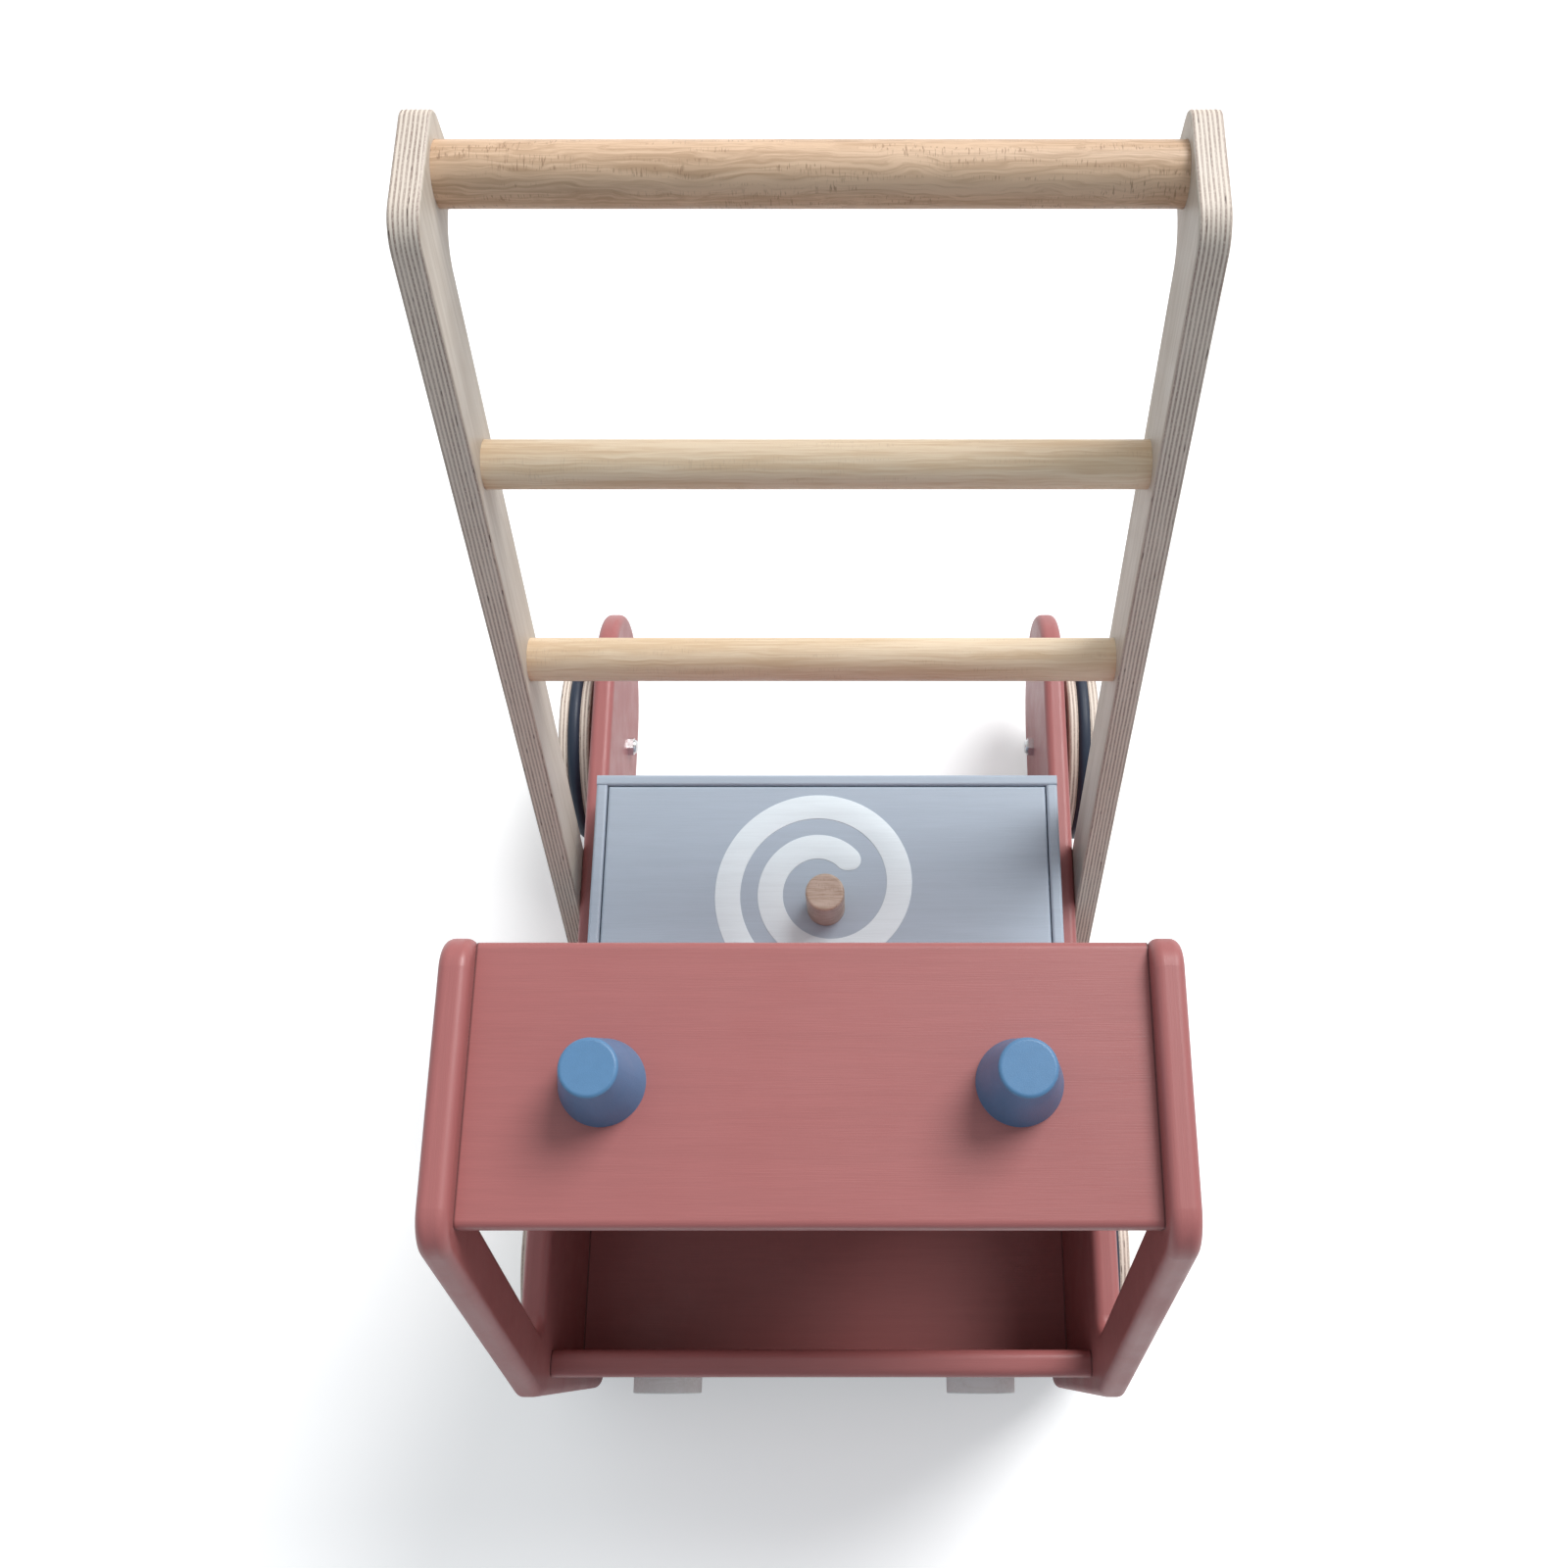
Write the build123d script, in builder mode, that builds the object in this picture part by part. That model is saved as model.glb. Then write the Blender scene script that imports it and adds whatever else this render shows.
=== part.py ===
from build123d import *
import os
from math import atan2, cos, degrees, pi, radians, sin, tan

# Push walker in the form of a fire truck: a painted cab and a storage box with a loose lid stand
# between two side panels on four plywood wheels, and a ladder leans back from them as the handle.
# Millimetres. X runs across, the front faces -Y, Z runs up from the ground. The origin lies on the
# ground in the middle of the walker's length and width. Left is +X, the child's left hand.

# ---------------------------------------------------------------- whole walker
inner_width = 250.0         # between the side panels
board = 12.0                # thickness of panels, roof, front board and rails
wheelbase = 300.0
front_overhang = 70.5       # front edge of the panels to the front axle

# ---------------------------------------------------------------- side panels
panel_length = 447.5
panel_low = 18.0            # ground to the lower edge
tail_top = 125.0            # top of the low rear part, whose end is a half circle
cab_length = 165.0          # front edge to the back of the cab
cab_top = 398.0
belt_z = 206.0              # where the upright front edge meets the raked pillar
pillar_rake = 15.5          # degrees from the vertical
pillar_width = 24.5
rear_pillar_width = 24.0
sill_z = 207.0              # lower edge of the window
top_rail = 33.0             # panel above the window
nose_radius = 17.0
belt_radius = 22.0
roof_corner_radius = 17.0
back_corner_radius = 13.0
cowl_radius = 26.0          # hollow corner between the cab and the low rear part
window_radius = 13.0
window_nose_radius = 7.0    # the sharp lower front corner of the window
panel_round = 4.0           # rounding all along the edges of a panel

# ---------------------------------------------------------------- cab
roof_drop = 9.0             # top of the roof below the panels' top edge
roof_front_inset = 6.8      # front edge of the roof behind the top of the pillars
roof_back_inset = 1.5       # rear edge of the roof ahead of the cab's back
roof_round = 3.0
front_board_low = 36.0
front_board_top = 188.0
front_board_inset = 8.0     # face of the front board behind the panels' front edge
front_board_round = 4.0
floor_top = 98.0
floor_thick = 9.0
lamp_radius = 17.0
lamp_thick = 8.5
lamp_spacing = 156.5
lamp_round = 0.6
lamp_z = 119.0
beacon_base_radius = 16.0
beacon_top_radius = 10.3
beacon_height = 32.0
beacon_spacing = 151.0
beacon_from_front = 51.0    # beacon centres behind the roof's front edge
small_round = 1.5           # broken edges of turned pieces and thin boards

# ---------------------------------------------------------------- storage box and lid
box_length = 149.0
box_low = 36.0
box_top = 160.0
box_wall = 6.0
box_floor_thick = 6.0
ledge = 8.0                 # square section of the two ledges
lid_thick = 7.0
lid_gap = 0.5               # all round the lid
lid_drop = 0.5              # lid below the rim of the box
knob_radius = 10.0
knob_height = 30.0

# ---------------------------------------------------------------- ladder
rail_width = 32.5
rail_lean = 19.7            # degrees from the vertical
rail_foot_z = 72.0
rail_foot_ahead = 121.0     # centre of the rail's foot ahead of the rear axle
handle_z = 493.0
arm_length = 26.0           # from the rails' elbow back to the handle
arm_end = 19.2              # end of the arm behind the middle of the handle
arm_end_radius = 7.5        # rounded corners of that end
rail_elbow_radius = 20.0    # hollow corner under the arm
rail_round = 1.2
handle_radius = 12.0
rung_radius = 10.2
rung_seat = 6.0             # depth of the blind holes that take the dowels
upper_rung_drop = 105.5     # along the rail, from its elbow
rung_pitch = 115.5

# ---------------------------------------------------------------- wheels and axles
wheel_radius = 57.0
wheel_thick = 18.0
tyre_proud = 2.5            # tyre beyond the plywood rims
tyre_width = 7.0
groove_depth = 5.5
tyre_round = 3.0
bush_radius = 5.5
axle_radius = 3.0
running_gap = 0.05          # between axle and bush, all round
end_float = 0.25            # each side of a wheel
spacer_thick = 3.0
spacer_radius = 8.0
washer_thick = 1.0
washer_radius = 8.0
bolt_head_radius = 6.5
bolt_head_height = 3.5
nut_flats = 10.0
nut_height = 3.4
nut_cap_height = 2.0
nut_wall = 1.2              # closed end of the cap nut
head_rounding = 0.8         # rounding of bolt heads and cap nuts, as a share of their height

# ---------------------------------------------------------------- screws
screw_head_radius = 3.5
screw_head_depth = 2.2
screw_radius = 1.75
screw_tip = 3.0
screw_point_radius = 0.4
seat_gap = 0.1              # between a fastener or a dowel and its hole
panel_screw = 30.0
box_screw = 16.0
rail_screw = 20.0
rung_screw = 26.0
cone_screw = 26.0
lamp_screw = 17.0
knob_screw = 22.0
rail_screw_pitch = 36.0     # between the two screws at a rail's foot
end_margin = 30.0           # outermost screws in from a board's ends

# ---------------------------------------------------------------- places worked out from the sizes
half_inner = inner_width / 2
half_outer = half_inner + board
rail_outer = half_outer + board
lamp_proud = lamp_thick - front_board_inset
front_edge = (lamp_proud - panel_length) / 2
front_axle_y = front_edge + front_overhang
rear_axle_y = front_axle_y + wheelbase
cab_back = front_edge + cab_length
tail_radius = (tail_top - panel_low) / 2
tail_y = front_edge + panel_length - tail_radius
tail_z = panel_low + tail_radius
rake = tan(radians(pillar_rake))
pillar_step = pillar_width / cos(radians(pillar_rake))
pillar_top_y = front_edge + (cab_top - belt_z) * rake
roof_y = pillar_top_y + roof_front_inset
roof_top = cab_top - roof_drop
roof_low = roof_top - board
roof_back = cab_back - roof_back_inset
back_board_front = roof_back - board
front_face = front_edge + front_board_inset
board_back = front_face + board
beacon_y = roof_y + beacon_from_front

box_front = cab_back
box_back = box_front + box_length
hold_front = box_front + box_wall
hold_back = box_back - box_wall
hold_half = half_inner - box_wall
hold_y = (box_front + box_back) / 2
lid_top = box_top - lid_drop
lid_low = lid_top - lid_thick

foot_y = rear_axle_y - rail_foot_ahead
lean = radians(rail_lean)
elbow_y = foot_y + (handle_z - rail_foot_z) * tan(lean)
handle_y = elbow_y + arm_length
arm_underside = arm_length - rail_width / 2 * (1 / cos(lean) - tan(lean))
largest_hollow = arm_underside / tan((pi / 2 - lean) / 2)
hollow_radius = min(rail_elbow_radius, largest_hollow - small_round / 10)
wheel_inside = half_outer + spacer_thick + end_float
wheel_outside = wheel_inside + wheel_thick
bolt_seat = wheel_outside + end_float + washer_thick


def along_rail(distance):
    """Point (y, z) on a rail's centre line, at a distance below its elbow."""
    return (elbow_y - distance * sin(lean), handle_z - distance * cos(lean))


rail_length = (handle_z - rail_foot_z) / cos(lean)
dowels = {
    "handle_bar": (handle_radius, (handle_y, handle_z)),
    "upper_rung": (rung_radius, along_rail(upper_rung_drop)),
    "lower_rung": (rung_radius, along_rail(upper_rung_drop + rung_pitch)),
}
rail_screw_points = [along_rail(rail_length), along_rail(rail_length - rail_screw_pitch)]

# Screws that point along X: (y, z) of each, the same on both sides of the walker.
roof_screw_points = [(y, roof_low + board / 2) for y in (roof_y + end_margin, roof_back - end_margin)]
front_screw_points = [
    (front_face + board / 2, z)
    for z in (front_board_low + end_margin, front_board_top - end_margin)
]
floor_screw_points = [
    (y, floor_top - floor_thick / 2) for y in (board_back + end_margin, back_board_front - end_margin)
]
box_screw_points = [
    (y, (box_low + box_floor_thick + tail_top) / 2)
    for y in (hold_front + end_margin / 2, hold_back - end_margin / 2)
]
back_screw_points = [
    (roof_back - board / 2, z) for z in (box_top + end_margin, roof_low - end_margin)
]
panel_screw_points = roof_screw_points + front_screw_points + floor_screw_points + back_screw_points


def inward(face_x, points):
    """Screw places on both sides, heads at |x| = face_x, pointing to the middle."""
    left = [Location((face_x, y, z), (0, 0, 180)) for y, z in points]
    right = [Location((-face_x, y, z)) for y, z in points]
    return left + right


def outward(face_x, points):
    """Screw places on both sides, heads at |x| = face_x, pointing away from the middle."""
    left = [Location((face_x, y, z)) for y, z in points]
    right = [Location((-face_x, y, z), (0, 0, 180)) for y, z in points]
    return left + right


def upward(z, points):
    """Screw places with heads at height z, pointing up."""
    return [Location((x, y, z), (0, -90, 0)) for x, y in points]


panel_places = inward(half_outer, panel_screw_points)
box_places = outward(hold_half, box_screw_points)
rail_places = inward(rail_outer, rail_screw_points)
rung_places = inward(rail_outer, [centre for radius, centre in dowels.values()])
beacon_places = upward(roof_low, [(-beacon_spacing / 2, beacon_y), (beacon_spacing / 2, beacon_y)])
lamp_places = [
    Location((x, board_back, lamp_z), (0, 0, -90)) for x in (-lamp_spacing / 2, lamp_spacing / 2)
]
knob_places = upward(lid_low, [(0, hold_y)])


def countersunk(length, slack=0.0):
    """Countersunk wood screw along +X with its head's face at x = 0. With slack it is its own hole."""
    with BuildPart() as made:
        with BuildSketch():
            with BuildLine():
                Polyline(
                    (-slack, 0),
                    (-slack, screw_head_radius + slack),
                    (screw_head_depth, screw_radius + slack),
                    (length - screw_tip, screw_radius + slack),
                    (length + slack, screw_point_radius + slack),
                    (length + slack, 0),
                    close=True,
                )
            make_face()
        revolve(axis=Axis.X)
    return made.part


def cut_screws(length, places):
    """Cut the holes of a set of screws into the part being built."""
    with Locations(*places):
        add(countersunk(length, seat_gap), mode=Mode.SUBTRACT)


def save(made, name):
    """Label a finished piece with its name and write it."""
    made.part.label = name
    export_step(made.part, f"parts/{name}.step")


def panel_board(x_range, y_range, z_range):
    """Plain board between the given limits, for use inside a part."""
    ranges = (x_range, y_range, z_range)
    size = [high - low for low, high in ranges]
    centre = Vector(*[(high + low) / 2 for low, high in ranges])
    with Locations(centre):
        Box(*size)


os.makedirs("parts", exist_ok=True)
sides = ((1, "left"), (-1, "right"))

# ---------------------------------------------------------------- side panels
with BuildPart() as left_side_panel:
    with BuildSketch(Plane.YZ.offset(half_inner)):
        with BuildLine():
            outline = FilletPolyline(
                (tail_y, panel_low),
                (front_edge, panel_low),
                (front_edge, belt_z),
                (pillar_top_y, cab_top),
                (cab_back, cab_top),
                (cab_back, tail_top),
                (tail_y, tail_top),
                radius=[nose_radius, belt_radius, roof_corner_radius, back_corner_radius, cowl_radius],
            )
            ThreePointArc(outline @ 1, (tail_y + tail_radius, tail_z), outline @ 0)
        make_face()
        window_top = cab_top - top_rail
        window_back = cab_back - rear_pillar_width
        with BuildLine():
            FilletPolyline(
                (front_edge + pillar_step + (sill_z - belt_z) * rake, sill_z),
                (front_edge + pillar_step + (window_top - belt_z) * rake, window_top),
                (window_back, window_top),
                (window_back, sill_z),
                radius=[window_nose_radius, window_radius, window_radius, window_radius],
                close=True,
            )
        make_face(mode=Mode.SUBTRACT)
    extrude(amount=board)
    fillet(left_side_panel.faces().filter_by(Axis.X).edges(), panel_round)
    for axle_y in (front_axle_y, rear_axle_y):
        with Locations(Location((half_inner, axle_y, wheel_radius), (0, 90, 0))):
            Hole(axle_radius + seat_gap)
    cut_screws(panel_screw, panel_places)
    cut_screws(box_screw, box_places)
    cut_screws(rail_screw, rail_places)

save(left_side_panel, "left_side_panel")

with BuildPart() as right_side_panel:
    mirror(left_side_panel.part, about=Plane.YZ)
save(right_side_panel, "right_side_panel")

# ---------------------------------------------------------------- cab
with BuildPart() as roof_panel:
    panel_board((-half_inner, half_inner), (roof_y, roof_back), (roof_low, roof_top))
    fillet(roof_panel.edges().filter_by(Axis.X), roof_round)
    cut_screws(panel_screw, panel_places)
    cut_screws(cone_screw, beacon_places)
save(roof_panel, "roof_panel")

with BuildPart() as front_board:
    panel_board((-half_inner, half_inner), (front_face, board_back), (front_board_low, front_board_top))
    fillet(front_board.edges().filter_by(Axis.X), front_board_round)
    cut_screws(panel_screw, panel_places)
    cut_screws(lamp_screw, lamp_places)
save(front_board, "front_board")

with BuildPart() as cab_floor:
    panel_board(
        (-half_inner, half_inner),
        (board_back, back_board_front),
        (floor_top - floor_thick, floor_top),
    )
    cut_screws(panel_screw, panel_places)
save(cab_floor, "cab_floor")

with BuildPart() as cab_back_board:
    panel_board(
        (-half_inner, half_inner),
        (back_board_front, roof_back),
        (floor_top - floor_thick, roof_low),
    )
    cut_screws(panel_screw, panel_places)
save(cab_back_board, "cab_back_board")

for side, side_name in sides:
    with BuildPart() as headlight:
        with BuildSketch(Plane.XZ.offset(-front_face)):
            with Locations((side * lamp_spacing / 2, lamp_z)):
                Circle(lamp_radius)
        extrude(amount=lamp_thick)
        fillet(headlight.faces().sort_by(Axis.Y)[0].edges(), lamp_round)
        cut_screws(lamp_screw, lamp_places)
    save(headlight, side_name + "_headlight")

    with BuildPart() as beacon:
        with Locations((side * beacon_spacing / 2, beacon_y, roof_top)):
            Cone(
                beacon_base_radius,
                beacon_top_radius,
                beacon_height,
                align=(Align.CENTER, Align.CENTER, Align.MIN),
            )
        fillet(beacon.faces().sort_by(Axis.Z)[-1].edges(), small_round)
        cut_screws(cone_screw, beacon_places)
    save(beacon, side_name + "_beacon")

# ---------------------------------------------------------------- storage box
with BuildPart() as box_front_board:
    panel_board((-half_inner, half_inner), (box_front, hold_front), (box_low, box_top))
    fillet(box_front_board.faces().sort_by(Axis.Z)[-1].edges().filter_by(Axis.X), small_round)
save(box_front_board, "box_front_board")

with BuildPart() as box_back_board:
    panel_board((-half_inner, half_inner), (hold_back, box_back), (box_low, box_top))
    fillet(box_back_board.faces().sort_by(Axis.Z)[-1].edges().filter_by(Axis.X), small_round)
save(box_back_board, "box_back_board")

with BuildPart() as box_left_board:
    panel_board((hold_half, half_inner), (hold_front, hold_back), (box_low, box_top))
    fillet(box_left_board.faces().sort_by(Axis.Z)[-1].edges().filter_by(Axis.Y), small_round)
    cut_screws(box_screw, box_places)
save(box_left_board, "box_left_board")

with BuildPart() as box_right_board:
    mirror(box_left_board.part, about=Plane.YZ)
save(box_right_board, "box_right_board")

with BuildPart() as box_floor:
    panel_board((-hold_half, hold_half), (hold_front, hold_back), (box_low, box_low + box_floor_thick))
save(box_floor, "box_floor")

with BuildPart() as lid_ledges:
    panel_board((hold_half - ledge, hold_half), (hold_front, hold_back), (lid_low - ledge, lid_low))
    mirror(about=Plane.YZ)
save(lid_ledges, "lid_ledges")

# ---------------------------------------------------------------- lid
lid_half = hold_half - lid_gap
with BuildPart() as lid_panel:
    panel_board(
        (-lid_half, lid_half),
        (hold_front + lid_gap, hold_back - lid_gap),
        (lid_low, lid_top),
    )
    fillet(lid_panel.faces().sort_by(Axis.Z)[-1].edges(), small_round)
    cut_screws(knob_screw, knob_places)
save(lid_panel, "lid_panel")

with BuildPart() as lid_knob:
    with Locations((0, hold_y, lid_top)):
        Cylinder(knob_radius, knob_height, align=(Align.CENTER, Align.CENTER, Align.MIN))
    fillet(lid_knob.faces().sort_by(Axis.Z)[-1].edges(), small_round)
    cut_screws(knob_screw, knob_places)
save(lid_knob, "lid_knob")

# ---------------------------------------------------------------- ladder
with BuildPart() as left_ladder_rail:
    with BuildSketch(Plane.YZ.offset(half_outer)) as rail_profile:
        foot = Vector(foot_y, rail_foot_z)
        elbow = Vector(elbow_y, handle_z)
        span = elbow - foot
        with Locations((foot + elbow) / 2):
            SlotCenterToCenter(span.length, rail_width, rotation=degrees(atan2(span.Y, span.X)))
        with Locations(elbow):
            Rectangle(arm_length + arm_end, rail_width, align=(Align.MIN, Align.CENTER))
        fillet(rail_profile.vertices().group_by(Axis.X)[-1], arm_end_radius)
        hollow = rail_profile.vertices().sort_by_distance(elbow + Vector(rail_width / 2, -rail_width / 2))[0]
        fillet(hollow, hollow_radius)
    extrude(amount=board)
    fillet(left_ladder_rail.faces().filter_by(Axis.X).edges(), rail_round)
    for radius, (y, z) in dowels.values():
        with BuildSketch(Plane.YZ.offset(half_outer)):
            with Locations((y, z)):
                Circle(radius + seat_gap)
        extrude(amount=rung_seat + seat_gap, mode=Mode.SUBTRACT)
    cut_screws(rail_screw, rail_places)
    cut_screws(rung_screw, rung_places)
save(left_ladder_rail, "left_ladder_rail")

with BuildPart() as right_ladder_rail:
    mirror(left_ladder_rail.part, about=Plane.YZ)
save(right_ladder_rail, "right_ladder_rail")

for name, (radius, (y, z)) in dowels.items():
    with BuildPart() as dowel:
        with Locations(Location((0, y, z), (0, 90, 0))):
            Cylinder(radius, 2 * (half_outer + rung_seat))
        cut_screws(rung_screw, rung_places)
    save(dowel, name)

# ---------------------------------------------------------------- screws
for name, length, places in (
    ("panel_screws", panel_screw, panel_places),
    ("box_screws", box_screw, box_places),
    ("rail_screws", rail_screw, rail_places),
    ("rung_screws", rung_screw, rung_places),
    ("beacon_screws", cone_screw, beacon_places),
    ("headlight_screws", lamp_screw, lamp_places),
    ("lid_knob_screw", knob_screw, knob_places),
):
    with BuildPart() as screws:
        with Locations(*places):
            add(countersunk(length))
    save(screws, name)

# ---------------------------------------------------------------- wheels
# Wheel parts are turned about X as they lie on a left axle through the origin, then set on all four.
axle_places = {
    f"{end}_{side_name}": Location((0, axle_y, wheel_radius), (0, 0, 0 if side > 0 else 180))
    for end, axle_y in (("front", front_axle_y), ("rear", rear_axle_y))
    for side, side_name in sides
}
rim_radius = wheel_radius - tyre_proud
groove_radius = rim_radius - groove_depth
wheel_middle = (wheel_inside + wheel_outside) / 2


def turned(x_range, radius_range, round_off=0.0):
    """Ring about X between the given limits, its outer edges rounded off."""
    width = x_range[1] - x_range[0]
    depth = radius_range[1] - radius_range[0]
    with BuildPart() as made:
        with BuildSketch() as profile:
            with Locations((x_range[0] + width / 2, radius_range[0] + depth / 2)):
                Rectangle(width, depth)
            if round_off:
                fillet(profile.vertices().group_by(Axis.Y)[-1], round_off)
        revolve(axis=Axis.X)
    return made.part


with BuildPart() as wheel_disc:
    add(turned((wheel_inside, wheel_outside), (bush_radius + seat_gap, rim_radius), small_round))
    groove = (wheel_middle - tyre_width / 2, wheel_middle + tyre_width / 2)
    add(turned(groove, (groove_radius, wheel_radius)), mode=Mode.SUBTRACT)

tyre_sides = (groove[0] + seat_gap, groove[1] - seat_gap)
wheel_parts = {
    "wheel": wheel_disc.part,
    "tyre": turned(tyre_sides, (groove_radius + seat_gap, wheel_radius), tyre_round),
    "bush": turned((wheel_inside, wheel_outside), (axle_radius + running_gap, bush_radius)),
}
for corner, place in axle_places.items():
    for kind, shape in wheel_parts.items():
        with BuildPart() as wheel_part:
            with Locations(place):
                add(shape)
        save(wheel_part, f"{corner}_{kind}")

# ---------------------------------------------------------------- axles
nut_inside = half_inner - nut_height - nut_cap_height
bolt_end = nut_inside + nut_wall

with BuildPart() as bolt:
    add(turned((bolt_end, bolt_seat), (0, axle_radius)))
    add(turned((bolt_seat, bolt_seat + bolt_head_height), (0, bolt_head_radius)))
    fillet(bolt.faces().sort_by(Axis.X)[-1].edges(), head_rounding * bolt_head_height)

with BuildPart() as cap_nut:
    with BuildSketch(Plane.YZ.offset(half_inner - nut_height)):
        RegularPolygon(nut_flats / 2, 6, major_radius=False)
    extrude(amount=nut_height)
    add(turned((nut_inside, half_inner - nut_height), (0, nut_flats / 2 - small_round / 2)))
    fillet(cap_nut.faces().sort_by(Axis.X)[0].edges(), head_rounding * nut_cap_height)
    add(turned((bolt_end - seat_gap, half_inner), (0, axle_radius + seat_gap)), mode=Mode.SUBTRACT)

collar = axle_radius + seat_gap
for name, shape in (
    ("axle_bolts", bolt.part),
    ("cap_nuts", cap_nut.part),
    ("wheel_spacers", turned((half_outer, half_outer + spacer_thick), (collar, spacer_radius))),
    ("axle_washers", turned((bolt_seat - washer_thick, bolt_seat), (collar, washer_radius))),
):
    with BuildPart() as axle_parts:
        with Locations(*axle_places.values()):
            add(shape)
    save(axle_parts, name)
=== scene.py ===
"""Looks for the wooden fire-truck push walker: satin paint, birch plywood, beech rods, a painted
hose figure on the lid, screws and bolts with their drives, and a small studio round it all."""

from math import atan2, pi, radians

import bpy
import numpy as np
from bpy.props import FloatProperty, FloatVectorProperty, IntProperty, PointerProperty
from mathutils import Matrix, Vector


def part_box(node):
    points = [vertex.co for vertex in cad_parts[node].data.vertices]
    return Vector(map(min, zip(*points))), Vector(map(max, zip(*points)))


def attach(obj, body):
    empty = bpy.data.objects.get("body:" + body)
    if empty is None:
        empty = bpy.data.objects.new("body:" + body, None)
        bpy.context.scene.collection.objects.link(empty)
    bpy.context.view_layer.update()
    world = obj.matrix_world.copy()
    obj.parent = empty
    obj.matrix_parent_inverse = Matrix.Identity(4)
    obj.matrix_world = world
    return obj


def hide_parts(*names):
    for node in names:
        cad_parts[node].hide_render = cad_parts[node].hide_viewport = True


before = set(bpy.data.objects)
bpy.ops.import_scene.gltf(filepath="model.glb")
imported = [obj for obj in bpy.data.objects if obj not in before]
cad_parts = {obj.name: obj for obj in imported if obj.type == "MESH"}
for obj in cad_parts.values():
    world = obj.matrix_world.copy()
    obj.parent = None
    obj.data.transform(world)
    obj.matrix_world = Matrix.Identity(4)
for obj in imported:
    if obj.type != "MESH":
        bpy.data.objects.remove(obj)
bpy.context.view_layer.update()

bl_info = {
    "name": "Fire-truck push walker",
    "version": (1, 0, 0),
    "blender": (4, 5, 0),
    "location": "3D View > Sidebar > Walker",
    "description": "Paints, timbers, fasteners and studio for a wooden push walker",
    "category": "Object",
}

SIDES = ("left", "right")
CORNERS = [f"{end}_{side}" for end in ("front", "rear") for side in SIDES]

# Turns that bring the grain's X across the walker, along it, and upright.
GRAIN_ACROSS = (0.0, 0.0, 0.0)
GRAIN_LENGTHWISE = (0.0, 0.0, -pi / 2)
GRAIN_UPRIGHT = (0.0, pi / 2, 0.0)

WHITE_LIGHT = (1.0, 1.0, 1.0, 1.0)
POINTS_AROUND_A_DRIVE = 48


# ---------------------------------------------------------------- settings
def colour_property(name, default, description):
    """Colour setting in linear red, green and blue."""
    return FloatVectorProperty(
        name=name, description=description, default=default, subtype="COLOR", size=3, min=0.0, max=1.0
    )


def length_property(name, default, description):
    """Length setting in metres."""
    return FloatProperty(
        name=name, description=description, default=default, unit="LENGTH", min=0.0, precision=5
    )


def offset_property(name, default, description):
    """Length setting in metres that may also be negative."""
    return FloatProperty(
        name=name, description=description, default=default, unit="LENGTH", precision=5
    )


def share_property(name, default, description):
    """Setting from nought to one."""
    return FloatProperty(
        name=name, description=description, default=default, subtype="FACTOR", min=0.0, max=1.0
    )


def layers_property(name, default, description):
    """Number of pairs of plywood layers."""
    return IntProperty(name=name, description=description, default=default, min=2, max=20)


def angle_property(name, degrees, description):
    """Angle setting, whose default is given in degrees."""
    return FloatProperty(
        name=name, description=description, default=radians(degrees), subtype="ANGLE"
    )


def vector_property(name, default, description, subtype="DIRECTION"):
    """Direction or place setting."""
    return FloatVectorProperty(
        name=name, description=description, default=default, subtype=subtype
    )


def strength_property(name, default, description):
    """Strength of a light."""
    return FloatProperty(name=name, description=description, default=default, min=0.0)


def camera_length_property(name, default, description):
    """Length inside the camera, in millimetres."""
    return FloatProperty(
        name=name, description=description, default=default, unit="CAMERA", min=1.0
    )


class WalkerPaints(bpy.types.PropertyGroup):
    """Satin paints on the boards and turned pieces."""

    red: colour_property("Red", (0.372, 0.122, 0.118), "Paint of the cab and the side panels")
    grey: colour_property("Grey", (0.375, 0.445, 0.53), "Paint of the storage box and its lid")
    blue: colour_property("Blue", (0.090, 0.215, 0.39), "Paint of the two beacons")
    white: colour_property("White", (0.70, 0.78, 0.83), "Paint of the hose figure on the lid")
    grain_shade: share_property("Grain shade", 0.03, "How far the wood's grain tints the paint")
    grain_length: length_property("Grain length", 0.016, "Length of the lines in the paint")
    grain_width: length_property("Grain width", 0.00035, "Width of the lines in the paint")
    grain_depth: length_property("Grain depth", 0.00012, "Depth of the lines in the paint")
    # Painted shade: a dark line painted on the boards where shade falls in the joint with a side panel.
    gap_shade_width: length_property("Seam width", 0.001, "Dark line where a board meets a panel")
    gap_shade_strength: share_property("Seam shade", 0.7, "How far that line darkens the paint")
    smoothest: share_property("Smoothest", 0.34, "Roughness where the paint is smoothest")
    roughest: share_property("Roughest", 0.46, "Roughness where the paint is handled most")


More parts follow.
